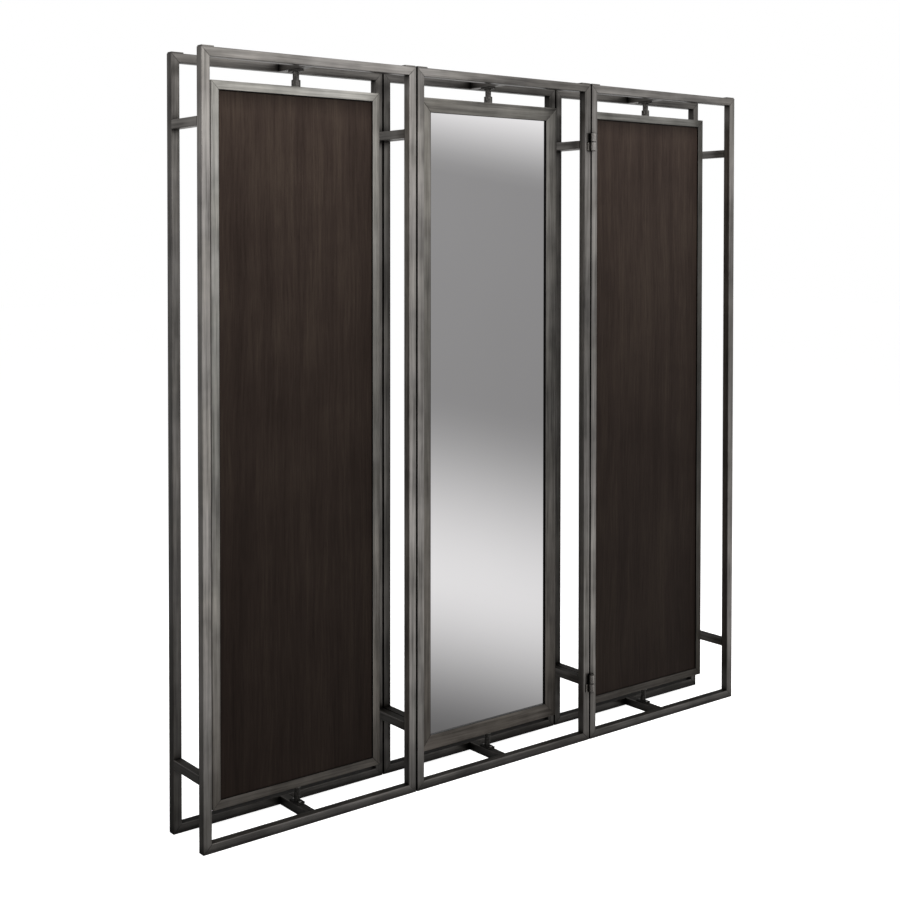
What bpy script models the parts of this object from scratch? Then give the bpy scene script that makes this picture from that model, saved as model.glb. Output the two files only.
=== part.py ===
"""Folding room divider screen: three standing sections hinged edge to edge.

Each section is a front and a rear rectangle of mitred square tube, held apart by
short spacers, with a reversible panel (wood veneer on one side, mirror on the
other) that turns on pivots between them. Metres, +Z up. The origin is at the
bottom of the screen, in the middle of its width and depth. The front is -Y.
"""
import math

import bmesh
import bpy
from mathutils import Matrix, Vector

MODEL = "folding_room_divider_screen"
CUTTERS = "cutters"

# ---- driving dimensions -------------------------------------------------------
SECTION_W = 0.660        # width of one section
SECTION_H = 1.980        # height of the tube frames
SECTION_D = 0.178        # front face to rear face
SECTION_GAP = 0.004      # between neighbouring sections
TUBE = 0.024             # square tube, outside
TUBE_WALL = 0.0015
TUBE_RADIUS = 0.0016     # outside corner radius of the tube
CORNER_STEPS = 2         # flats in a rounded tube corner
VENT_R = 0.003           # holes that open the frames' hollow under the cross bars
MITRE_GROOVE_W = 0.0006  # fine groove left where two mitred ends meet
MITRE_GROOVE_D = 0.0005
MITRE_REACH = 0.150      # length of the slab that cuts it, across the corner

SPACER_INSET = 0.180     # frame end to the middle of a side spacer
PAD_LENGTH = 0.034       # flat pads on the top corners
PAD_HEIGHT = 0.003
PAD_SINK = 0.0006        # how deep a pad is let into the tube, to join with it
PAD_SETBACK = 0.0020     # pad end to the frame's outer corner

PANEL_W = 0.522
PANEL_H = 1.840
PANEL_T = 0.027
WOOD_LIP = 0.023         # border seen around the wood
MIRROR_LIP = 0.040       # border seen around the mirror
LIP_T = 0.0035           # thickness of the wood side lip
MEMBER_WEB = 0.009       # outer wall of a panel frame member
MIRROR_STEP = 0.008      # glass below the panel's mirror side face
COVE_DROP = 0.0025       # how far the mirror border slopes down to its inner edge
BEAD_W = 0.0045          # outer bead of the mirror border
BEAD_GROOVE = 0.0008
COVE_POWER = 1.7         # over 1 hollows the slope
COVE_STEPS = 4

WOOD_T = 0.0074
BACKING_T = 0.0029
MIRROR_T = 0.0040

PLATE = (0.024, 0.038, 0.005)    # pivot plate under or on a cross bar
TOP_PIN_R = 0.0085
TOP_SPIGOT_R = 0.0050
BOTTOM_PIN_R = 0.0080
BOTTOM_SPIGOT_R = 0.0040
COLLAR_R = 0.0120
COLLAR_H = 0.018
THRUST_WASHER_R = 0.0105
THRUST_WASHER_H = 0.003

HINGE_INSET = 0.173      # frame end to the middle of a hinge
KNUCKLE_R = 0.0080
KNUCKLE_H = 0.0270
KNUCKLE_CHAMFER = 0.0005
HINGE_PIN_R = 0.0040
HINGE_STANDOFF = 0.0085  # hinge axis in front of the face that it is fixed to
LEAF_W = 0.0170
LEAF_T = 0.0025
LEAF_END = 0.0015        # leaf shorter than its knuckle at each end

FIT = 0.0003             # gap between touching pieces
WELD = 0.00001           # points closer than this are one
ROUND = 24               # sides of a round piece

SECTION_PITCH = SECTION_W + SECTION_GAP
FRAME_Y = (SECTION_D - TUBE) / 2          # middle of the front or rear tubes
SPACER_LENGTH = SECTION_D - 2 * TUBE - 2 * FIT
PANEL_TOP = (SECTION_H + PANEL_H) / 2
PANEL_BOTTOM = (SECTION_H - PANEL_H) / 2

# ---- materials ------------------------------------------------------------------
FINISHES = {             # colour, metallic, roughness
    "pewter": ((0.40, 0.375, 0.35), 1.0, 0.34),
    "pewter_panel": ((0.42, 0.41, 0.38), 1.0, 0.34),
    "dark_steel": ((0.17, 0.165, 0.155), 1.0, 0.42),
    "bright_steel": ((0.42, 0.41, 0.40), 1.0, 0.28),
    "espresso_wood": ((0.020, 0.012, 0.010), 0.0, 0.42),
    "hardboard": ((0.16, 0.10, 0.06), 0.0, 0.80),
    "mirror_glass": ((0.86, 0.87, 0.87), 1.0, 0.03),
    "nylon": ((0.75, 0.73, 0.68), 0.0, 0.50),
}


def clear_scene():
    for thing in list(bpy.data.objects):
        bpy.data.objects.remove(thing, do_unlink=True)


def new_collection(name):
    made = bpy.data.collections.new(name)
    bpy.context.scene.collection.children.link(made)
    return made


def finish(name, kind):
    """A material of the piece's own, in one of the finishes."""
    colour, metallic, roughness = FINISHES[kind]
    made = bpy.data.materials.new(name)
    made.use_nodes = True
    shader = made.node_tree.nodes["Principled BSDF"]
    shader.inputs["Base Color"].default_value = (*colour, 1.0)
    shader.inputs["Metallic"].default_value = metallic
    shader.inputs["Roughness"].default_value = roughness
    made.diffuse_color = (*colour, 1.0)
    return made


# ---- shapes ------------------------------------------------------------------------
def rounded_square(size, radius, steps):
    """Corners of a square with rounded corners, from 0 to its size in x, centred in y."""
    reach = size / 2 - radius
    points = []
    for corner in range(4):
        away = math.radians(90 * corner + 45)
        middle = (size / 2 + math.copysign(reach, math.cos(away)),
                  math.copysign(reach, math.sin(away)))
        for step in range(steps + 1):
            angle = math.radians(90 * corner + 90 * step / steps)
            points.append((middle[0] + radius * math.cos(angle),
                           middle[1] + radius * math.sin(angle)))
    return points


def square(start, size):
    half = size / 2
    return [(start, -half), (start + size, -half), (start + size, half), (start, half)]


def panel_profile():
    """Section of a panel frame member: x in from the panel's edge, y from the wood side
    to the mirror side. The channel between the lips holds wood, backing and mirror."""
    seat = PANEL_T - MIRROR_STEP
    start = BEAD_W + BEAD_GROOVE
    points = [(0, 0), (WOOD_LIP, 0), (WOOD_LIP, LIP_T), (MEMBER_WEB, LIP_T)]
    points += [(MEMBER_WEB, seat), (MIRROR_LIP, seat)]
    for step in range(COVE_STEPS + 1):
        along = step / COVE_STEPS
        x = MIRROR_LIP + (start - MIRROR_LIP) * along
        points.append((x, PANEL_T - BEAD_GROOVE - COVE_DROP * (1 - along) ** COVE_POWER))
    points += [(BEAD_W, PANEL_T), (0, PANEL_T)]
    return [(x, y - PANEL_T / 2) for x, y in points]


def inset(outline, by):
    """The outline, which runs anticlockwise, with each side moved in by this distance."""
    points = [Vector(point) for point in outline]
    smaller = []
    for before, point, after in zip(points[-1:] + points, points, points[1:] + points[:1]):
        along = (point - before).normalized(), (after - point).normalized()
        first, second = (Vector((-way.y, way.x)) for way in along)
        smaller.append(point + (first + second) * by / (1 + first.dot(second)))
    return smaller


def hoop(outline, width, height):
    """The outline carried round a rectangle in the XZ plane, with square corners: its x is
    the distance in from the rectangle's side, and its y is depth."""
    shape = bmesh.new()
    corner = [shape.verts.new((width / 2 - x, y, width / 2 - x)) for x, y in outline]
    sides = [shape.edges.new(ends) for ends in zip(corner, corner[1:] + corner[:1])]
    bmesh.ops.spin(shape, geom=corner + sides, axis=(0, 1, 0), angle=2 * math.pi, steps=4,
                   use_merge=True)
    for vert in shape.verts:
        vert.co.z += math.copysign((height - width) / 2, vert.co.z)
    return made_mesh(shape)


def prism(outlines, length):
    """A mesh of a flat outline, and any holes in it, run along Z."""
    curve = bpy.data.curves.new("outline", "CURVE")
    curve.dimensions = "2D"
    curve.fill_mode = "BOTH"
    curve.extrude = length / 2
    for points in outlines:
        spline = curve.splines.new("POLY")
        spline.points.add(len(points) - 1)
        spline.use_cyclic_u = True
        for target, (x, y) in zip(spline.points, points):
            target.co = (x, y, 0, 1)
    drawn = bpy.data.objects.new("outline", curve)
    mesh = evaluated(drawn)
    shape = bmesh.new()
    shape.from_mesh(mesh)
    bmesh.ops.remove_doubles(shape, verts=shape.verts, dist=WELD)
    return made_mesh(shape)


def box(size):
    shape = bmesh.new()
    bmesh.ops.create_cube(shape, size=1.0)
    bmesh.ops.scale(shape, vec=size, verts=shape.verts)
    return made_mesh(shape)


def turned(profile):
    """A round piece from (radius, z) points, top to bottom down its outer side."""
    mesh = bpy.data.meshes.new("profile")
    points = [(radius, 0, z) for radius, z in profile]
    mesh.from_pydata(points, [(i, i + 1) for i in range(len(points) - 1)], [])
    drawn = bpy.data.objects.new("profile", mesh)
    screw = drawn.modifiers.new("turn", "SCREW")
    screw.steps = screw.render_steps = ROUND
    screw.use_merge_vertices = True
    screw.merge_threshold = WELD
    made = evaluated(drawn)
    made.shade_smooth()
    made.set_sharp_from_angle(angle=math.radians(35))
    return made


def rod(radius, low, high, chamfer):
    return turned([(0, high), (radius - chamfer, high), (radius, high - chamfer),
                   (radius, low + chamfer), (radius - chamfer, low), (0, low)])


def ring(outer, inner, low, high):
    return turned([(inner, high), (outer, high), (outer, low), (inner, low), (inner, high)])


def made_mesh(shape):
    """A mesh of a finished bmesh, with its faces pointing out."""
    bmesh.ops.recalc_face_normals(shape, faces=shape.faces)
    mesh = bpy.data.meshes.new("shape")
    shape.to_mesh(mesh)
    shape.free()
    return mesh


def evaluated(drawn):
    """The mesh that an object's modifiers make. The object itself is removed."""
    bpy.context.scene.collection.objects.link(drawn)
    graph = bpy.context.evaluated_depsgraph_get()
    mesh = bpy.data.meshes.new_from_object(drawn.evaluated_get(graph))
    bpy.data.objects.remove(drawn, do_unlink=True)
    return mesh


def moved(mesh, place):
    copy = mesh.copy()
    copy.transform(place)
    return copy


def side_by_side(meshes):
    """One mesh of several that don't meet, to cut or join with in one step."""
    whole = bmesh.new()
    for mesh in meshes:
        whole.from_mesh(mesh)
    return made_mesh(whole)


def combined(mesh, *steps):
    """The mesh after Boolean steps, each an operation and the mesh that it uses."""
    target = bpy.data.objects.new("target", mesh)
    tools = []
    for operation, other in steps:
        tool = bpy.data.objects.new("tool", other)
        tool.hide_render = True
        tool.display_type = "WIRE"
        bpy.data.collections[CUTTERS].objects.link(tool)
        tools.append(tool)
        change = target.modifiers.new(operation.lower(), "BOOLEAN")
        change.operation = operation
        change.object = tool
    made = evaluated(target)
    for tool in tools:
        bpy.data.objects.remove(tool, do_unlink=True)
    return made


# ---- placing ----------------------------------------------------------------------
def at(x, y, z):
    return Matrix.Translation((x, y, z))


def turn_z(degrees):
    return Matrix.Rotation(math.radians(degrees), 4, "Z")


def joint_axis(name, place, parent=None):
    """An empty on a joint's axis. Its pieces, and the axes that move with it, are its
    children."""
    made = bpy.data.objects.new(name, None)
    made.empty_display_size = 0.05
    made.location = Vector(place)
    if parent:
        made.parent = parent
        made.location -= parent.location
    bpy.data.collections[MODEL].objects.link(made)
    bpy.context.view_layer.update()
    return made


def piece(name, mesh, kind, place, axis=None):
    """A named part at a place given in the screen's own frame. On a moving body its origin
    is on the joint's axis."""
    made = bpy.data.objects.new(name, mesh.copy())
    origin = axis.matrix_world if axis else Matrix()
    made.data.transform(origin.inverted() @ place)
    made.data.name = name
    made.data.materials.clear()
    made.data.materials.append(finish(name, kind))
    made.parent = axis
    bpy.data.collections[MODEL].objects.link(made)
    return made


# ---- shared shapes --------------------------------------------------------------------
def mitre_slabs(width, height, depth):
    """Thin upright slabs on the four mitre planes of a rectangle."""
    slabs = []
    for x, z in ((1, 1), (1, -1), (-1, 1), (-1, -1)):
        slab = box((MITRE_GROOVE_W, depth, MITRE_REACH))
        turn = Matrix.Rotation(math.radians(45 * x * z), 4, "Y")
        slabs.append(moved(slab, at(x * width / 2, 0, z * height / 2) @ turn))
    return side_by_side(slabs)


def tube_frame():
    """A welded rectangle of mitred tube with pads on its top corners. Its corners show a
    fine groove on the mitre. Holes at the cross bars open the hollow on the +Y side."""
    outer = rounded_square(TUBE, TUBE_RADIUS, CORNER_STEPS)
    pad = box((PAD_LENGTH, TUBE - 2 * TUBE_RADIUS, PAD_HEIGHT + PAD_SINK))
    out = SECTION_W / 2 - PAD_SETBACK - PAD_LENGTH / 2
    pad_z = SECTION_H / 2 + (PAD_HEIGHT - PAD_SINK) / 2
    vent = moved(rod(VENT_R, -TUBE / 2, TUBE / 2, 0), Matrix.Rotation(math.pi / 2, 4, "X"))
    vent_z = (SECTION_H - TUBE) / 2
    return combined(
        hoop(outer, SECTION_W, SECTION_H),
        ("DIFFERENCE", mitre_slabs(SECTION_W, SECTION_H, 2 * TUBE)),
        ("UNION", hoop(inset(outer, MITRE_GROOVE_D), SECTION_W, SECTION_H)),
        ("UNION", side_by_side([moved(pad, at(sign * out, 0, pad_z)) for sign in (-1, 1)])),
        ("DIFFERENCE", hoop(square(TUBE_WALL, TUBE - 2 * TUBE_WALL), SECTION_W, SECTION_H)),
        ("DIFFERENCE", side_by_side(
            [moved(vent, at(0, TUBE / 2, sign * vent_z)) for sign in (-1, 1)])),
    )


def panel_frame():
    """The reversible panel's frame: mitred channel with the wood side to the front, and a
    hole in its bottom member for the lower pivot."""
    profile = panel_profile()
    hole = rod(BOTTOM_SPIGOT_R + FIT, -MEMBER_WEB, MEMBER_WEB, 0)
    return combined(
        hoop(profile, PANEL_W, PANEL_H),
        ("DIFFERENCE", mitre_slabs(PANEL_W, PANEL_H, 2 * PANEL_T)),
        ("UNION", hoop(inset(profile, MITRE_GROOVE_D), PANEL_W, PANEL_H)),
        ("DIFFERENCE", moved(hole, at(0, 0, -PANEL_H / 2))),
    )


def short_tube():
    """A straight tube that lies between the front and the rear frame, centred."""
    outer = rounded_square(TUBE, TUBE_RADIUS, CORNER_STEPS)
    run = prism([outer, square(TUBE_WALL, TUBE - 2 * TUBE_WALL)], SPACER_LENGTH)
    return moved(run, Matrix.Rotation(math.pi / 2, 4, "X") @ at(-TUBE / 2, 0, 0))


# ---- one section ---------------------------------------------------------------------
def section_frames(shapes, side, x, axis):
    """Two tube rectangles, and the short tubes and cross bars that hold them apart."""
    for face, y, turn in (("front", -FRAME_Y, 0), ("rear", FRAME_Y, 180)):
        place = at(x, y, SECTION_H / 2) @ turn_z(turn)
        piece(f"{side}_{face}_frame", shapes["tube_frame"], "pewter", place, axis)
    reach = (SECTION_W - TUBE) / 2
    for level, z in (("lower", SPACER_INSET), ("upper", SECTION_H - SPACER_INSET)):
        for hand, sign in (("left", -1), ("right", 1)):
            piece(f"{side}_{level}_{hand}_spacer", shapes["short_tube"], "pewter",
                  at(x + sign * reach, 0, z), axis)
    for level, z in (("bottom", TUBE / 2), ("top", SECTION_H - TUBE / 2)):
        piece(f"{side}_{level}_crossbar", shapes["short_tube"], "pewter", at(x, 0, z), axis)


def pivot_hardware(side, x, axis):
    """A bracket on each cross bar, a plate with a turned pin on it, and the washer that
    the panel's weight rests on."""
    plate_z = TUBE + FIT + PLATE[2] / 2
    shoulder = PANEL_BOTTOM - THRUST_WASHER_H - 2 * FIT
    tip = PANEL_BOTTOM + MEMBER_WEB - FIT
    lower = turned([(0, tip), (BOTTOM_SPIGOT_R, tip), (BOTTOM_SPIGOT_R, shoulder),
                    (BOTTOM_PIN_R, shoulder), (BOTTOM_PIN_R, plate_z), (0, plate_z)])
    piece(f"{side}_bottom_pivot_bracket",
          combined(moved(box(PLATE), at(0, 0, plate_z)), ("UNION", lower)),
          "dark_steel", at(x, 0, 0), axis)
    piece(f"{side}_thrust_washer",
          ring(THRUST_WASHER_R, BOTTOM_SPIGOT_R + FIT, shoulder + FIT, PANEL_BOTTOM - FIT),
          "nylon", at(x, 0, 0), axis)

    plate_z = SECTION_H - plate_z
    collar_top = PANEL_TOP + FIT + COLLAR_H
    tip = PANEL_TOP + 2 * FIT
    upper = turned([(0, plate_z), (TOP_PIN_R, plate_z), (TOP_PIN_R, collar_top + FIT),
                    (TOP_SPIGOT_R, collar_top + FIT), (TOP_SPIGOT_R, tip), (0, tip)])
    piece(f"{side}_top_pivot_bracket",
          combined(moved(box(PLATE), at(0, 0, plate_z)), ("UNION", upper)),
          "dark_steel", at(x, 0, 0), axis)


def reversible_panel(shapes, side, x, axis, turn):
    """The turning panel: channel frame, wood face, backing board, mirror and top collar."""
    spin = at(x, 0, SECTION_H / 2) @ turn_z(turn)
    piece(f"{side}_panel_frame", shapes["panel_frame"], "pewter_panel", spin, axis)
    edge = 2 * (MEMBER_WEB + FIT)
    y = -PANEL_T / 2 + LIP_T + FIT
    for name, thick, kind in (("wood_panel", WOOD_T, "espresso_wood"),
                              ("backing_board", BACKING_T, "hardboard"),
                              ("mirror", MIRROR_T, "mirror_glass")):
        sheet = box((PANEL_W - edge, thick, PANEL_H - edge))
        piece(f"{side}_{name}", sheet, kind, spin @ at(0, y + thick / 2, 0), axis)
        y += thick + FIT
    low = PANEL_TOP + FIT
    piece(f"{side}_top_collar", ring(COLLAR_R, TOP_SPIGOT_R + FIT, low, low + COLLAR_H),
          "dark_steel", at(x, 0, 0), axis)


# ---- hinges ----------------------------------------------------------------------------
def hinge_half(towards, out, low, high):
    """A knuckle about the Z axis, and the leaf welded to it. towards is the side in X that
    it is fixed on, and out the way that the axis stands off in Y."""
    y = -out * (HINGE_STANDOFF - FIT - LEAF_T / 2)
    leaf = moved(box((LEAF_W, LEAF_T, high - low - 2 * LEAF_END)),
                 at(towards * LEAF_W / 2, y, (low + high) / 2))
    bore = rod(HINGE_PIN_R + FIT, low - LEAF_T, high + LEAF_T, 0)
    barrel = rod(KNUCKLE_R, low, high, KNUCKLE_CHAMFER)
    return combined(barrel, ("UNION", leaf), ("DIFFERENCE", bore))


def hinge_pair(face, x, out, outer, axis):
    """Two lift-off hinges on one gap. The lower knuckles and the pins stay with the centre
    section, and the upper knuckles turn with the outer section."""
    y = out * (SECTION_D / 2 + HINGE_STANDOFF)
    away = math.copysign(1, x)
    lower = hinge_half(-away, out, -KNUCKLE_H - FIT, -FIT / 2)
    upper = hinge_half(away, out, FIT / 2, KNUCKLE_H + FIT)
    pin = rod(HINGE_PIN_R, -KNUCKLE_H - FIT, KNUCKLE_H + FIT, KNUCKLE_CHAMFER)
    for level, z in (("lower", HINGE_INSET), ("upper", SECTION_H - HINGE_INSET)):
        name = f"{level}_{face}_hinge"
        piece(f"{name}_centre_leaf", lower, "pewter", at(x, y, z))
        piece(f"{name}_pin", pin, "bright_steel", at(x, y, z))
        piece(f"{name}_{outer}_leaf", upper, "pewter", at(x, y, z), axis)


# ---- the whole screen --------------------------------------------------------------------
def main():
    clear_scene()
    new_collection(MODEL)
    new_collection(CUTTERS)
    shapes = {"tube_frame": tube_frame(), "short_tube": short_tube(),
              "panel_frame": panel_frame()}
    hinge_y = SECTION_D / 2 + HINGE_STANDOFF
    gap_x = SECTION_PITCH / 2
    left = joint_axis("left_section_axis", (-gap_x, hinge_y, 0))
    right = joint_axis("right_section_axis", (gap_x, -hinge_y, 0))
    # the centre panel is turned to show its mirror, and the outer two show their wood
    for side, x, section, turn in (("left", -SECTION_PITCH, left, 0),
                                   ("centre", 0, None, 180),
                                   ("right", SECTION_PITCH, right, 0)):
        section_frames(shapes, side, x, section)
        pivot_hardware(side, x, section)
        pivot = joint_axis(f"{side}_panel_axis", (x, 0, 0), section)
        reversible_panel(shapes, side, x, pivot, turn)
    hinge_pair("rear", -gap_x, 1, "left", left)
    hinge_pair("front", gap_x, -1, "right", right)


main()
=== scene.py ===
"""Looks of the folding room divider screen: camera, studio, finishes and small pieces.

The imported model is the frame. Every place here is worked out from its nodes.
Metres, +Z up, the front is -Y.
"""

import math

import bmesh
import bpy
from mathutils import Matrix, Vector


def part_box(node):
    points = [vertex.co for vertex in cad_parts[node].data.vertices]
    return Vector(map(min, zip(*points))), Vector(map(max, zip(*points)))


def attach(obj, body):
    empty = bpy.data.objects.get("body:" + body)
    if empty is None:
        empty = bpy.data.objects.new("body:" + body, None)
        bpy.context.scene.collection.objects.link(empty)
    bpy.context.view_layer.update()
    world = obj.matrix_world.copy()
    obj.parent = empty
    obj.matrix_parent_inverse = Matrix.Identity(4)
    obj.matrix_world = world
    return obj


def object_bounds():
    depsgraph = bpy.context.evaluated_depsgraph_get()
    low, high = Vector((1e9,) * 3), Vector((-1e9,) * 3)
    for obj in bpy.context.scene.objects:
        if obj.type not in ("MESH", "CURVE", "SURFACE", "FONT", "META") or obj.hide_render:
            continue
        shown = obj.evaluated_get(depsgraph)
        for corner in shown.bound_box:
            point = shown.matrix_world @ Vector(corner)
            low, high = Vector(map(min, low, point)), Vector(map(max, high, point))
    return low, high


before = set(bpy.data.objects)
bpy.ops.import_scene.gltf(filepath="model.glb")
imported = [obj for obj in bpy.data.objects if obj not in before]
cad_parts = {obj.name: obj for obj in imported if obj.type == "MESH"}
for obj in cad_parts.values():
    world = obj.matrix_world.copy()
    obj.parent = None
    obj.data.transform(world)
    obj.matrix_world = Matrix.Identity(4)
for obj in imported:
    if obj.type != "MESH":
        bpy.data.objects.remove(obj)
cad_box = [list(corner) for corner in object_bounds()]

SIDES = ("left", "centre", "right")

# ---- camera ----------------------------------------------------------------------
CAMERA_PLACE = (-2.646, -3.055, 1.492)
CAMERA_HEADING = 37.43    # degrees to the right of straight ahead
CAMERA_PITCH = -1.21      # degrees above level
CAMERA_LENS = 55.37       # mm, on Blender's 36 mm sensor
CAMERA_SHIFT = (0.051, -0.193)

# ---- studio ------------------------------------------------------------------------
# Height is the Z of a direction, from -1, straight down, to 1, straight up.
FRONT_GLOW = (            # height, brightness of the studio in front of the screen
    (-1.00, 0.45), (-0.72, 0.36), (-0.55, 0.07), (-0.345, 0.13), (-0.24, 0.79), (-0.11, 0.275),
    (0.045, 0.29), (0.13, 1.20), (0.22, 0.95), (0.50, 0.42), (1.00, 0.34),
)
FRONT_SIDES = (           # X of a direction, and how the front glow varies with it
    (-1.00, 0.90), (0.30, 1.15), (0.50, 1.24), (0.62, 1.03), (0.70, 0.97), (0.78, 0.70),
    (1.00, 0.55),
)
LEFT_GLOW = (             # the same behind the screen, to its left and to its right
    (-1.00, 0.45), (-0.80, 0.34), (-0.55, 0.04), (-0.38, 0.04), (-0.10, 0.21), (0.10, 0.25),
    (1.00, 0.42),
)
RIGHT_GLOW = (
    (-1.00, 0.45), (-0.72, 0.34), (-0.50, 0.12), (-0.40, 0.20), (-0.27, 0.90), (-0.15, 0.42),
    (-0.05, 0.42), (0.04, 0.06), (0.50, 0.05), (1.00, 0.35),
)
GLOW_TILT = (0.151, 0.131)    # how the front glow leans, per unit of X and of Y
BACK_FADE = (-0.10, 0.35)     # the Y of a direction where front turns to back
RIGHT_FADE = (-0.20, 0.25)    # the X where the left of the back turns to its right
DIFFUSE_GLOW = 0.13           # share of the glow that lights matt surfaces
LAMPS = (                     # place, what it points at, size, watts
    ((0.1, -1.0, 2.9), (0.1, -0.05, 1.9), (4.4, 0.5), 102.0),
    ((0.0, 1.2, 2.7), (0.0, 0.05, 1.0), (4.4, 0.5), 50.0),
)
FLOOR_SIZE = 60.0
FLOOR_COLOUR = (0.80, 0.80, 0.79)
FLOOR_LIFT = 0.92             # light of the floor's own, so that it stays pale
FLOOR_ROUGH = 0.9

# ---- finishes ---------------------------------------------------------------------
# A NOISE is its features to the metre, its detail and its roughness. A SPREAD is the two
# levels of a noise between which it takes effect, or 0 and 1 where none is given. TONES
# are shares of the colour at those two levels, and two values of ROUGH are the roughness
# there. A BUMP is its strength and its height in metres.
PEWTER = (0.550, 0.520, 0.492)
PANEL_PEWTER = (0.560, 0.545, 0.510)
BRIGHT_STEEL = (0.55, 0.54, 0.52)
TIE_PAINTED_SHADE = 0.85          # painted shade: the spacers and cross bars darker than the frames' same pewter
LEAF_PAINTED_LIGHT = 1.22         # painted light: the hinge leaves lighter than that same pewter
FRAME_ROUGH = 0.33
TIE_ROUGH = 0.35
HINGE_ROUGH = 0.24
STREAK_ACROSS = 120.0     # brush streaks to the metre, across the brush
STREAK_ALONG = 4.0        # and along it
STREAK_NOISE = (1.0, 4.0, 0.65)
STREAK_WEIGHT = 0.62
STREAK_SPREAD = (0.30, 0.70)
STREAK_ROUGHER = 0.06     # the darkest streaks
STREAK_SMOOTHER = 0.05    # and the lightest ones
STREAK_BUMP = (0.12, 0.0003)
CLOUD_NOISE = (9.0, 3.0, 0.55)        # patches of patina
CLOUD_WEIGHT = 0.38
METAL_SPREAD = (0.36, 0.64)
METAL_TONES = (0.52, 1.36)
WARM_PLACE = (7.0, 3.0, 1.0)          # which part of its noise is used
WARM_NOISE = (5.0, 3.0, 0.55)
WARM_SPREAD = (0.4, 0.6)
WARM_SHARE = 0.35
WARM_TINT = (1.0, 0.985, 0.93)

DARK_STEEL = (0.19, 0.18, 0.17)
RUBBED_NOISE = (260.0, 4.0, 0.6)
RUBBED_SPREAD = (0.45, 0.72)
RUBBED_TONES = (0.7, 2.2)
RUBBED_ROUGH = (0.42, 0.30)
RUBBED_BUMP = (0.2, 0.0002)

WOOD_DARK = (0.0100, 0.0062, 0.0050)
WOOD_MID = (0.0262, 0.0180, 0.0146)
WOOD_LIGHT = (0.0480, 0.0355, 0.0270)
WOOD_LEVELS = (0.34, 0.50, 0.66)      # where the grain's tone has these three shades
WOOD_SHEEN = (1.0, 0.83, 0.74)        # tint of the lacquer's shine
WOOD_SPECULAR = 0.20
WOOD_SPREAD = (0.3, 0.7)
WOOD_ROUGH = (0.46, 0.36)
WOOD_BUMP = (0.10, 0.0002)
BEND = (3.0, 3.0, 1.2)                # how often the grain bends, to the metre
BEND_NOISE = (1.0, 2.0, 0.55)
BEND_REACH = 0.05
# Layers of grain: features to the metre across and along it, detail and roughness.
BANDS = (24.0, 0.9, 4.0, 0.65)
BANDS_WEIGHT = 0.34
FIBRE = (150.0, 6.0, 5.0, 0.75)
FIBRE_WEIGHT = 0.40
PORES = (620.0, 18.0, 2.0, 0.6)
PORES_SPREAD = (0.60, 0.70)
PORES_SHARE = 0.5
PORES_SHADE = 0.5
STAIN_PLACE = (2.0, 5.0, 9.0)
STAIN_NOISE = (3.2, 3.0, 0.55)        # an uneven stain
STAIN_WEIGHT = 0.26

MIRROR = (0.90, 0.886, 0.893)
HAZE_NOISE = (6.0, 2.0, 0.55)
HAZE_TONES = (0.99, 1.01)
HAZE_ROUGH = (0.012, 0.022)

HARDBOARD_DARK = (0.10, 0.060, 0.035)
HARDBOARD_LIGHT = (0.22, 0.145, 0.085)
HARDBOARD_NOISE = (420.0, 5.0, 0.7)
HARDBOARD_SPREAD = (0.35, 0.65)
HARDBOARD_ROUGH = 0.82
HARDBOARD_BUMP = (0.4, 0.0003)

NYLON = (0.72, 0.70, 0.64)
NYLON_NOISE = (300.0, 3.0, 0.55)
NYLON_TONES = (0.94, 1.05)
NYLON_ROUGH = (0.42, 0.52)

# ---- painted shade and dark joints --------------------------------------------------
# How much of the colour painted shade leaves: darker by height, on the rear frames and on
# the centre and right sections. The panels' rows also tint their borders. Each stop is X or
# Z in metres, and the share there, as one number or as one for each channel.
FRAME_SHADE_ACROSS = ((-1.00, 1.00), (-0.34, 1.00), (-0.32, 0.82), (0.32, 0.54), (0.34, 0.80),
                (1.00, 0.70))
FRAME_SHADE_UP = ((0.00, 0.58), (0.05, 0.62), (0.25, 1.00), (0.80, 1.00), (1.20, 0.86),
            (1.60, 1.00), (1.80, 1.00), (1.90, 0.72), (2.00, 0.72))
REAR_SHADE_UP = ((0.00, 0.28), (0.60, 0.42), (1.50, 0.54), (1.80, 0.50), (1.90, 0.40), (2.00, 0.40))
PANEL_SHADE_AND_TINT_ACROSS = ((-0.40, 1.00), (-0.30, (0.665, 0.645, 0.63)), (0.20, (0.63, 0.62, 0.61)),
                (0.23, (0.51, 0.50, 0.50)), (0.40, 0.55))
PANEL_SHADE_AND_TINT_UP = ((0.06, (0.40, 0.375, 0.36)), (0.20, (0.59, 0.56, 0.54)), (0.60, (0.75, 0.73, 0.72)),
            (1.00, 0.58), (1.50, 0.96), (2.00, 1.00))
TIE_SHADE_UP = ((0.00, 0.48), (0.20, 0.56), (1.00, 0.90), (2.00, 0.90))
STEEL_SHADE_UP = ((0.00, 0.34), (0.20, 0.40), (1.00, 1.00), (2.00, 1.00))
REACH = 2.0               # half the length that those ramps cover
FOOT_SHADE_ACROSS = 0.80        # an even share of painted shade, which the share across X is blended with near the floor
FOOT_PART = 0.35          # part that the share across X has of the blend at the floor
FOOT_TOP = 0.8            # Z where it has all of it
REAR_FACE = 0.087         # the rear frames' own rear faces lie behind this Y
REAR_SHADE = 0.90         # share of painted shade on those faces

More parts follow.
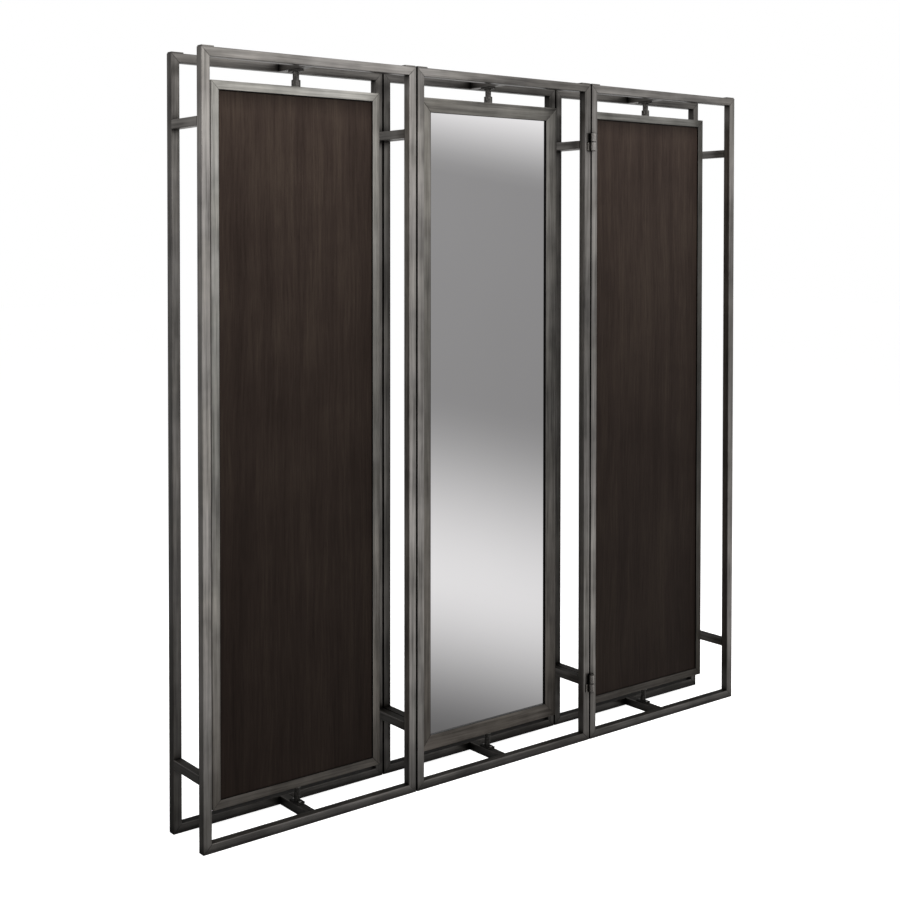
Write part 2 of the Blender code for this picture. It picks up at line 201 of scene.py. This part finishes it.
MITRE_CORE = 0.0008       # half width of the dark line on a mitre
MITRE_EDGE = 0.0030
MITRE_NOISE = (31.0, 3.0, 0.55)       # how it comes and goes
MITRE_SPREAD = (0.42, 0.64)
MITRE_FILL = 0.45         # how strong the line is at most
MITRE_SHADE = 0.20
MITRE_ROUGHER = 0.15
# Painted shade: a dark line along the foot of the panels' inner border walls.
WOOD_WALL = 0.0230        # panel edge to the inner wall of its border on the wood side
MIRROR_WALL = 0.0400      # and on the mirror side
WALL_NEAR = 0.0010
WALL_PAINTED_SHADE = 0.06
KNUCKLE_EDGE = 0.0014     # painted shade at the split between a hinge's knuckles and at its ends
KNUCKLE_PAINTED_SHADE = 0.08
FOLD_SHADE_NEAR = 0.0032         # painted shade on the faces that meet at a fold
FOLD_PAINTED_SHADE = 0.03
CORNER_SHADE_REACH = 0.030        # how far from a corner painted shade reaches
CORNER_PAINTED_SHADE = 0.08
CORNER_SHADE_POWER = 2.6
CORNER_SHADE_CLEAR = 0.85         # openness from which a face gets no painted shade
CORNER_SHADE_SAMPLES = 8

# ---- small pieces -----------------------------------------------------------------
PLATE_T = 0.0053          # pivot plate with its gap to the cross bar, as the CAD has them
SCREW_OUT = 0.0136        # screw to the middle of its pivot plate
SCREW_R = 0.0046
SCREW_H = 0.0030
SCREW_RIM = 0.35          # height of the head's rim, as a share of the head's height
SCREW_FOOT = 0.96         # radius of its underside, as a share of the head's radius
SCREW_SHARP = math.radians(40)        # edges over this angle stay sharp
SCREW_SHANK_R = 0.0020
SCREW_SHANK = 0.0030
RECESS = (0.0050, 0.0011, 0.0014)     # one slot of the cross recess
DOME_STEPS = 6
ROUND = 32
WELD = 0.00001
CAD_SHARP = math.radians(50)


# ---- node graphs ---------------------------------------------------------------------
class Graph:
    """Nodes in short calls. An input is a number, a tuple or another node's output."""

    def __init__(self, tree):
        self.tree = tree
        tree.nodes.clear()

    def node(self, kind, *inputs, named=None, **settings):
        made = self.tree.nodes.new("ShaderNode" + kind)
        for name, value in settings.items():
            setattr(made, name, value)
        for key, value in [*enumerate(inputs), *(named or {}).items()]:
            if isinstance(value, bpy.types.NodeSocket):
                self.tree.links.new(value, made.inputs[key])
            elif value is not None:
                made.inputs[key].default_value = value
        return made

    def math(self, operation, *inputs):
        return self.node("Math", *inputs, operation=operation).outputs[0]

    def axes(self, vector):
        return self.node("SeparateXYZ", vector).outputs

    def scaled(self, vector, by):
        return self.node("VectorMath", vector, by, operation="MULTIPLY").outputs[0]

    def shift(self, vector, by):
        return self.node("VectorMath", vector, by, operation="ADD").outputs[0]

    def either(self, choice, first, second):
        """The first vector where choice is 0, the second where it is 1."""
        made = self.node("Mix", choice, data_type="VECTOR", named={4: first, 5: second})
        return made.outputs[1]

    def mix(self, factor, first, second, blend="MIX"):
        made = self.node("Mix", factor, data_type="RGBA", blend_type=blend,
                         named={6: colour(first), 7: colour(second)})
        return made.outputs[2]

    def spread(self, value, low, high, to_low=0.0, to_high=1.0, smooth=False):
        kind = "SMOOTHSTEP" if smooth else "LINEAR"
        made = self.node("MapRange", value, low, high, to_low, to_high,
                         interpolation_type=kind)
        return made.outputs[0]

    def noise(self, vector, scale, detail, rough):
        made = self.node("TexNoise", vector,
                         named={"Scale": scale, "Detail": detail, "Roughness": rough})
        return made.outputs["Fac"]

    def ramp(self, value, stops, ease="LINEAR"):
        made = self.node("ValToRGB", value)
        made.color_ramp.interpolation = ease
        elements = made.color_ramp.elements
        for _ in stops[2:]:
            elements.new(0.5)
        for element, (place, shade) in zip(elements, stops):
            element.position = place
            element.color = colour(shade)
        return made.outputs[0]

    def place(self):
        return self.node("TexCoord").outputs["Object"]

    def tint(self, shade, by):
        return self.mix(1.0, shade, by, "MULTIPLY")

    def tones(self, factor, shade, first, second):
        """From one share of a colour to another one."""
        return self.mix(factor, toned(shade, first), toned(shade, second))

    def weighted(self, *pairs):
        """The sum of each value times its weight."""
        parts = [self.math("MULTIPLY", value, weight) for value, weight in pairs]
        total = parts[0]
        for part in parts[1:]:
            total = self.math("ADD", total, part)
        return total

    def bump(self, height, strength, distance):
        made = self.node("Bump", named={"Strength": strength, "Distance": distance,
                                        "Height": height})
        return made.outputs[0]


def colour(shade):
    """A colour as Blender takes it, from three numbers, or from one for a grey."""
    if isinstance(shade, (int, float)):
        shade = (shade,) * 3
    return (*shade, 1.0) if isinstance(shade, tuple) and len(shade) == 3 else shade


def toned(shade, by):
    return tuple(channel * by for channel in shade)


def material(name):
    made = bpy.data.materials.new(name)
    made.use_nodes = True
    return made, Graph(made.node_tree)


def shader(graph, metallic, **inputs):
    """The Principled shader and the output. An input's name has _ for its spaces."""
    named = {name.replace("_", " "): value for name, value in inputs.items()}
    made = graph.node("BsdfPrincipled", named={"Metallic": metallic, **named})
    graph.node("OutputMaterial", made.outputs[0])


# ---- places that the finishes follow -------------------------------------------------
def middle(node):
    low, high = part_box(node)
    return (low + high) / 2


SECTION_PITCH = middle("centre_front_frame").x - middle("left_front_frame").x
MID_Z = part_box("centre_top_crossbar")[1].z / 2


def rectangle(node):
    """Half the width of a frame's rectangle, and half its height."""
    low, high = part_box(node)
    return (high.x - low.x) / 2, MID_Z - low.z


def border(graph, x, z, half):
    """1 on the upright members of the rectangles that repeat along X, 0 on the level
    ones, the distance from the mitre between them, and the distance in from the edge."""
    across = graph.math("WRAP", x, SECTION_PITCH / 2, -SECTION_PITCH / 2)
    side = graph.math("SUBTRACT", half[0], graph.math("ABSOLUTE", across))
    level = graph.math("ABSOLUTE", graph.math("SUBTRACT", z, MID_Z))
    end = graph.math("SUBTRACT", half[1], level)
    upright = graph.math("LESS_THAN", side, end)
    mitre = graph.math("ABSOLUTE", graph.math("SUBTRACT", side, end))
    return upright, mitre, graph.math("MINIMUM", side, end)


def along_axis(graph, place, stops):
    """A shade that follows one coordinate through (metres, share) stops."""
    return graph.ramp(graph.spread(place, -REACH, REACH),
                      [((at + REACH) / (2 * REACH), share) for at, share in stops])


def mirror_side(graph, x, y):
    """1 on the mirror side of the panels. The centre one is turned round."""
    outer = graph.math("GREATER_THAN", graph.math("ABSOLUTE", x), SECTION_PITCH / 2)
    rear = graph.math("GREATER_THAN", y, 0.0)
    return graph.math("COMPARE", outer, rear, 0.5)


# ---- brushed metal ------------------------------------------------------------------
def streaked(graph, place, axis):
    """The place for a noise that is drawn out along one axis."""
    stretch = [STREAK_ACROSS] * 3
    stretch[axis] = STREAK_ALONG
    return graph.scaled(place, tuple(stretch))


def mottled(graph, place, streak, shade):
    """The metal's colour, with its streaks, its patches and a warmer cast here and there."""
    cloud = graph.noise(place, *CLOUD_NOISE)
    tone = graph.weighted((streak, STREAK_WEIGHT), (cloud, CLOUD_WEIGHT))
    shades = graph.tones(graph.spread(tone, *METAL_SPREAD), shade, *METAL_TONES)
    warmth = graph.noise(graph.shift(place, WARM_PLACE), *WARM_NOISE)
    warmth = graph.math("MULTIPLY", graph.spread(warmth, *WARM_SPREAD), WARM_SHARE)
    return graph.mix(warmth, shades, graph.tint(shades, WARM_TINT))


def mitre_seam(graph, place, mitre):
    """How dark the line on a mitre is, from the distance to it. It is filled in places."""
    seam = graph.spread(mitre, MITRE_CORE, MITRE_EDGE, 1.0, 0.0, smooth=True)
    filled = graph.spread(graph.noise(place, *MITRE_NOISE), *MITRE_SPREAD, 0.0, MITRE_FILL)
    return graph.math("MULTIPLY", seam, filled)


def shaded_panel(graph, axes, inward, shade, shades):
    """Painted shade with a tint on the panels' borders, and a painted shade line along the foot
    of their inner walls.
    """
    x, y, z = axes
    # Painted shade with a tint, across the sections and by height.
    shades = graph.tint(shades, along_axis(graph, x, PANEL_SHADE_AND_TINT_ACROSS))
    shades = graph.tint(shades, along_axis(graph, z, PANEL_SHADE_AND_TINT_UP))
    lip = graph.spread(mirror_side(graph, x, y), 0.0, 1.0, WOOD_WALL, MIRROR_WALL)
    # A painted shade line along the foot of the inner wall.
    wall = graph.math("COMPARE", inward, lip, WALL_NEAR)
    return graph.mix(wall, shades, toned(shade, WALL_PAINTED_SHADE))


def shaded_hinge(graph, z, joint, shade, shades):
    """Painted shade lines between a hinge's knuckles and at its ends."""
    meeting, half_height = joint
    level = graph.math("ABSOLUTE", graph.math("SUBTRACT", z, MID_Z))
    away = graph.math("ABSOLUTE", graph.math("SUBTRACT", level, meeting))
    split = graph.math("LESS_THAN", away, KNUCKLE_EDGE)
    rim = graph.math("GREATER_THAN", away, half_height - KNUCKLE_EDGE)
    return graph.mix(graph.math("MAXIMUM", split, rim), shades, toned(shade, KNUCKLE_PAINTED_SHADE))


def shaded_frame(graph, axes, shade, shades):
    """Painted shade on the front and rear frames, and on the faces that meet at a fold."""
    x, y, z = axes
    # Painted shade: darker by height, on the rear frames and across the sections.
    frame_shade = graph.mix(graph.math("GREATER_THAN", y, 0.0), along_axis(graph, z, FRAME_SHADE_UP),
                     along_axis(graph, z, REAR_SHADE_UP))
    across = graph.mix(graph.spread(z, 0.0, FOOT_TOP, FOOT_PART, 1.0), FOOT_SHADE_ACROSS,
                       along_axis(graph, x, FRAME_SHADE_ACROSS))
    frame_shade = graph.tint(frame_shade, across)
    frame_shade = graph.mix(graph.math("GREATER_THAN", y, REAR_FACE), frame_shade, REAR_SHADE)
    shades = graph.tint(shades, frame_shade)
    # Painted shade on the faces that meet at a fold.
    fold = graph.math("COMPARE", graph.math("ABSOLUTE", x), SECTION_PITCH / 2, FOLD_SHADE_NEAR)
    return graph.mix(fold, shades, toned(shade, FOLD_PAINTED_SHADE))


def corner_shaded(graph, shades):
    """The same shades, with painted shade in the corners and where parts meet."""
    corner = graph.node("AmbientOcclusion", samples=CORNER_SHADE_SAMPLES, named={"Distance": CORNER_SHADE_REACH})
    unshaded = graph.math("POWER", corner.outputs["AO"], CORNER_SHADE_POWER)
    return graph.mix(graph.spread(unshaded, 0.0, CORNER_SHADE_CLEAR, 1.0 - CORNER_PAINTED_SHADE, 0.0), shades, 0.0)


def brushed(name, shade, roughness, half=None, along=2, panel=False, joint=None, up=None):
    """Brushed and antiqued metal, with painted shade in its corners. half is half of a
    mitred rectangle's size, and its brush follows the members. Without it the brush runs
    along one axis. joint is how far above and below the middle the hinges' knuckles meet,
    and half a hinge's height. up is a ramp of painted shade by height on pieces that
    aren't part of a rectangle."""
    made, graph = material(name)
    place = graph.place()
    axes = graph.axes(place)
    x, y, z = axes
    if half:
        upright, mitre, inward = border(graph, x, z, half)
        grain = graph.either(upright, streaked(graph, place, 0), streaked(graph, place, 2))
        seam = mitre_seam(graph, place, mitre)
    else:
        grain = streaked(graph, place, along)
        seam = 0.0
    streak = graph.noise(grain, *STREAK_NOISE)
    shades = mottled(graph, place, streak, shade)
    shades = graph.mix(seam, shades, toned(shade, MITRE_SHADE))
    if panel:
        shades = shaded_panel(graph, axes, inward, shade, shades)
    elif joint:
        shades = shaded_hinge(graph, z, joint, shade, shades)
    elif up:
        # Painted shade by height.
        shades = graph.tint(shades, along_axis(graph, z, up))
    elif half:
        shades = shaded_frame(graph, axes, shade, shades)
    # Painted shade in the corners and where parts meet, from ambient occlusion.
    shades = corner_shaded(graph, shades)
    rough = graph.spread(streak, *STREAK_SPREAD, roughness + STREAK_ROUGHER,
                         roughness - STREAK_SMOOTHER)
    rough = graph.math("ADD", rough, graph.math("MULTIPLY", seam, MITRE_ROUGHER))
    shader(graph, 1.0, Base_Color=shades, Roughness=rough,
           Normal=graph.bump(streak, *STREAK_BUMP))
    return made


# ---- other finishes -------------------------------------------------------------------
def dark_steel():
    """Blackened steel, rubbed a little brighter in patches, with painted shade towards the foot.
    """
    made, graph = material("blackened_steel")
    place = graph.place()
    worn = graph.spread(graph.noise(place, *RUBBED_NOISE), *RUBBED_SPREAD)
    shades = graph.tones(worn, DARK_STEEL, *RUBBED_TONES)
    # Painted shade: darker towards the foot.
    shades = graph.tint(shades, along_axis(graph, graph.axes(place)[2], STEEL_SHADE_UP))
    shader(graph, 1.0, Base_Color=shades, Roughness=graph.spread(worn, 0.0, 1.0, *RUBBED_ROUGH),
           Normal=graph.bump(worn, *RUBBED_BUMP))
    return made


def wood():
    """Espresso stained veneer, with its grain along Z."""
    made, graph = material("espresso_wood")
    place = graph.place()
    bend = graph.noise(graph.scaled(place, BEND), *BEND_NOISE)
    bend = graph.node("CombineXYZ", graph.math("MULTIPLY", bend, BEND_REACH)).outputs[0]
    x = graph.axes(graph.shift(graph.scaled(place, (1.0, 0.0, 0.0)), bend))[0]
    z = graph.axes(place)[2]

    def layer(across, along, detail, rough):
        lies = graph.node("CombineXYZ", graph.math("MULTIPLY", x, across), 0.0,
                          graph.math("MULTIPLY", z, along)).outputs[0]
        return graph.noise(lies, 1.0, detail, rough)

    bands = layer(*BANDS)
    fibre = layer(*FIBRE)
    pores = graph.spread(layer(*PORES), *PORES_SPREAD)
    stain = graph.noise(graph.shift(place, STAIN_PLACE), *STAIN_NOISE)
    tone = graph.weighted((bands, BANDS_WEIGHT), (fibre, FIBRE_WEIGHT), (stain, STAIN_WEIGHT))
    shades = graph.ramp(tone, list(zip(WOOD_LEVELS, (WOOD_DARK, WOOD_MID, WOOD_LIGHT))))
    shades = graph.mix(graph.math("MULTIPLY", pores, PORES_SHARE), shades,
                       toned(WOOD_DARK, PORES_SHADE))
    rough = graph.spread(fibre, *WOOD_SPREAD, *WOOD_ROUGH)
    bump = graph.bump(graph.math("SUBTRACT", fibre, pores), *WOOD_BUMP)
    shader(graph, 0.0, Base_Color=shades, Roughness=rough, Normal=bump,
           Specular_IOR_Level=WOOD_SPECULAR, Specular_Tint=colour(WOOD_SHEEN))
    return made


def mirror():
    """Silvered glass, with a faint unevenness in its polish."""
    made, graph = material("mirror_glass")
    haze = graph.noise(graph.place(), *HAZE_NOISE)
    shader(graph, 1.0, Base_Color=graph.tones(haze, MIRROR, *HAZE_TONES),
           Roughness=graph.spread(haze, 0.0, 1.0, *HAZE_ROUGH))
    return made


def hardboard():
    made, graph = material("hardboard")
    fibres = graph.noise(graph.place(), *HARDBOARD_NOISE)
    shades = graph.mix(graph.spread(fibres, *HARDBOARD_SPREAD), HARDBOARD_DARK, HARDBOARD_LIGHT)
    shader(graph, 0.0, Base_Color=shades, Roughness=HARDBOARD_ROUGH,
           Normal=graph.bump(fibres, *HARDBOARD_BUMP))
    return made


def nylon():
    made, graph = material("nylon")
    mottle = graph.noise(graph.place(), *NYLON_NOISE)
    shader(graph, 0.0, Base_Color=graph.tones(mottle, NYLON, *NYLON_TONES),
           Roughness=graph.spread(mottle, 0.0, 1.0, *NYLON_ROUGH))
    return made


# ---- meshes ---------------------------------------------------------------------------
def turned(profile):
    """A mesh turned about Z from (radius, z) points that start and end on the axis."""
    shape = bmesh.new()
    verts = [shape.verts.new((radius, 0, z)) for radius, z in profile]
    edges = [shape.edges.new(pair) for pair in zip(verts, verts[1:])]
    bmesh.ops.spin(shape, geom=verts + edges, axis=(0, 0, 1), angle=2 * math.pi,
                   steps=ROUND, use_merge=True)
    bmesh.ops.remove_doubles(shape, verts=shape.verts, dist=WELD)
    bmesh.ops.recalc_face_normals(shape, faces=shape.faces)
    return shape


def screw_head():
    """A pan head with a cross recess, and the start of its shank, standing on Z = 0."""
    dome = [(SCREW_R * math.sin(angle),
             SCREW_H * (SCREW_RIM + (1 - SCREW_RIM) * math.cos(angle)))
            for angle in (math.pi / 2 * step / DOME_STEPS for step in range(DOME_STEPS + 1))]
    profile = [*dome, (SCREW_R * SCREW_FOOT, 0.0), (SCREW_SHANK_R, 0.0),
               (SCREW_SHANK_R, -SCREW_SHANK), (0.0, -SCREW_SHANK)]
    shape = turned(profile)
    head = bpy.data.meshes.new("screw_head")
    shape.to_mesh(head)
    shape.free()
    cutter = bmesh.new()
    for turn in (0, 90):
        slot = bmesh.ops.create_cube(cutter, size=1.0)["verts"]
        bmesh.ops.scale(cutter, vec=(RECESS[0], RECESS[1], 2 * RECESS[2]), verts=slot)
        bmesh.ops.rotate(cutter, matrix=Matrix.Rotation(math.radians(turn), 3, "Z"), verts=slot)
        bmesh.ops.translate(cutter, vec=(0, 0, SCREW_H), verts=slot)
    slots = bpy.data.meshes.new("screw_recess")
    cutter.to_mesh(slots)
    cutter.free()
    body, tool = (bpy.data.objects.new(mesh.name, mesh) for mesh in (head, slots))
    for made in (body, tool):
        bpy.context.scene.collection.objects.link(made)
    cut = body.modifiers.new("recess", "BOOLEAN")
    cut.operation = "DIFFERENCE"
    cut.object = tool
    cut.use_self = True
    graph = bpy.context.evaluated_depsgraph_get()
    made = bpy.data.meshes.new_from_object(body.evaluated_get(graph))
    for extra in (body, tool):
        bpy.data.objects.remove(extra, do_unlink=True)
    made.shade_smooth()
    made.set_sharp_from_angle(angle=SCREW_SHARP)
    return made


def plate_screws(finish):
    """Two screws hold each pivot plate to its cross bar."""
    mesh = screw_head()
    mesh.materials.clear()
    mesh.materials.append(finish)
    for side in SIDES:
        body = f"{side}_section"
        x = middle(f"{side}_bottom_crossbar").x
        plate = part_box(f"{side}_bottom_crossbar")[1].z + PLATE_T
        for level, z, turn in (("bottom", plate, 0), ("top", 2 * MID_Z - plate, math.pi)):
            for where, y in (("front", -SCREW_OUT), ("rear", SCREW_OUT)):
                made = bpy.data.objects.new(f"{side}_{level}_pivot_screw_{where}", mesh)
                made.matrix_world = Matrix.Translation((x, y, z)) @ Matrix.Rotation(turn, 4, "X")
                bpy.context.scene.collection.objects.link(made)
                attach(made, body)


# ---- the frame's own nodes ----------------------------------------------------------------
def dress(node, finish):
    """Gives a CAD node its finish and smooths its rounded corners."""
    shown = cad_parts[node]
    shown.data.materials.clear()
    shown.data.materials.append(finish)
    shown.data.shade_smooth()
    weld = shown.modifiers.new("weld", "WELD")
    weld.merge_threshold = WELD
    split = shown.modifiers.new("sharp edges", "EDGE_SPLIT")
    split.split_angle = CAD_SHARP
    shown.modifiers.new("even shading", "WEIGHTED_NORMAL")


def dress_all():
    """Dresses every CAD node by the ending of its name, and returns the screws' finish."""
    frames = brushed("brushed_pewter", PEWTER, FRAME_ROUGH, rectangle("centre_front_frame"))
    panels = brushed("brushed_pewter_panel", PANEL_PEWTER, FRAME_ROUGH,
                     rectangle("centre_panel_frame"), panel=True)
    # The spacers and cross bars: the frames' pewter with painted shade, darker towards the foot.
    ties = brushed("brushed_pewter_tie", toned(PEWTER, TIE_PAINTED_SHADE), TIE_ROUGH, along=1,
                   up=TIE_SHADE_UP)
    low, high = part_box("upper_front_hinge_pin")
    # The hinge leaves: the frames' pewter lightened as painted light.
    leaves = brushed("brushed_pewter_hinge", toned(PEWTER, LEAF_PAINTED_LIGHT), HINGE_ROUGH,
                     joint=((low.z + high.z) / 2 - MID_Z, (high.z - low.z) / 2))
    steel = brushed("bright_steel", BRIGHT_STEEL, HINGE_ROUGH, along=0)
    finishes = {
        "_frame": frames, "_panel_frame": panels, "_spacer": ties, "_crossbar": ties,
        "_leaf": leaves, "_pin": steel, "_bracket": dark_steel(), "_wood_panel": wood(),
        "_mirror": mirror(), "_backing_board": hardboard(), "_thrust_washer": nylon(),
    }
    finishes["_collar"] = finishes["_bracket"]
    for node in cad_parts:
        ending = max((end for end in finishes if node.endswith(end)), key=len)
        dress(node, finishes[ending])
    return steel


# ---- studio -----------------------------------------------------------------------------
def studio():
    """A soft glow from all round, which changes with direction. Seen directly it is white."""
    world = bpy.data.worlds.new("studio")
    bpy.context.scene.world = world
    world.use_nodes = True
    graph = Graph(world.node_tree)
    way = graph.node("TexCoord").outputs["Generated"]
    x, y, z = graph.axes(way)
    lean = graph.node("VectorMath", way, (*GLOW_TILT, 1.0), operation="DOT_PRODUCT").outputs[1]

    def glow(height, stops):
        return graph.ramp(graph.spread(height, -1.0, 1.0),
                          [((at + 1) / 2, shade) for at, shade in stops], "EASE")

    front = graph.tint(glow(lean, FRONT_GLOW), glow(x, FRONT_SIDES))
    rightward = graph.spread(x, *RIGHT_FADE, smooth=True)
    back = graph.mix(rightward, glow(z, LEFT_GLOW), glow(z, RIGHT_GLOW))
    light = graph.mix(graph.spread(y, *BACK_FADE, smooth=True), front, back)
    path = graph.node("LightPath").outputs
    matt = graph.tint(light, DIFFUSE_GLOW)
    shade = graph.mix(path["Is Diffuse Ray"], light, matt)
    shade = graph.mix(path["Is Camera Ray"], shade, 1.0)
    graph.node("OutputWorld", graph.node("Background", shade).outputs[0])


def lamps():
    """Long soft lamps above, one in front and one behind, which reflections don't show."""
    for place, target, size, power in LAMPS:
        data = bpy.data.lights.new("lamp", "AREA")
        data.shape = "RECTANGLE"
        data.size, data.size_y = size
        data.energy = power
        made = bpy.data.objects.new("lamp", data)
        made.location = place
        made.rotation_euler = (Vector(target) - Vector(place)).to_track_quat("-Z", "Y").to_euler()
        made.visible_camera = False
        made.visible_glossy = False
        bpy.context.scene.collection.objects.link(made)


def floor():
    shape = bmesh.new()
    bmesh.ops.create_grid(shape, x_segments=1, y_segments=1, size=FLOOR_SIZE / 2)
    mesh = bpy.data.meshes.new("floor")
    shape.to_mesh(mesh)
    shape.free()
    made, graph = material("pale_floor")
    shader(graph, 0.0, Base_Color=colour(FLOOR_COLOUR), Roughness=FLOOR_ROUGH,
           Emission_Color=colour(1.0), Emission_Strength=FLOOR_LIFT)
    mesh.materials.append(made)
    laid = bpy.data.objects.new("floor", mesh)
    laid.location.z = cad_box[0][2]
    laid.visible_glossy = False
    laid.visible_diffuse = False
    bpy.context.scene.collection.objects.link(laid)


def camera():
    data = bpy.data.cameras.new("camera")
    data.lens = CAMERA_LENS
    data.shift_x, data.shift_y = CAMERA_SHIFT
    made = bpy.data.objects.new("camera", data)
    made.location = CAMERA_PLACE
    made.rotation_euler = (math.radians(90 + CAMERA_PITCH), 0, -math.radians(CAMERA_HEADING))
    bpy.context.scene.collection.objects.link(made)
    bpy.context.scene.camera = made


camera()
studio()
lamps()
floor()
plate_screws(dress_all())
bpy.context.scene.view_settings.view_transform = "Standard"
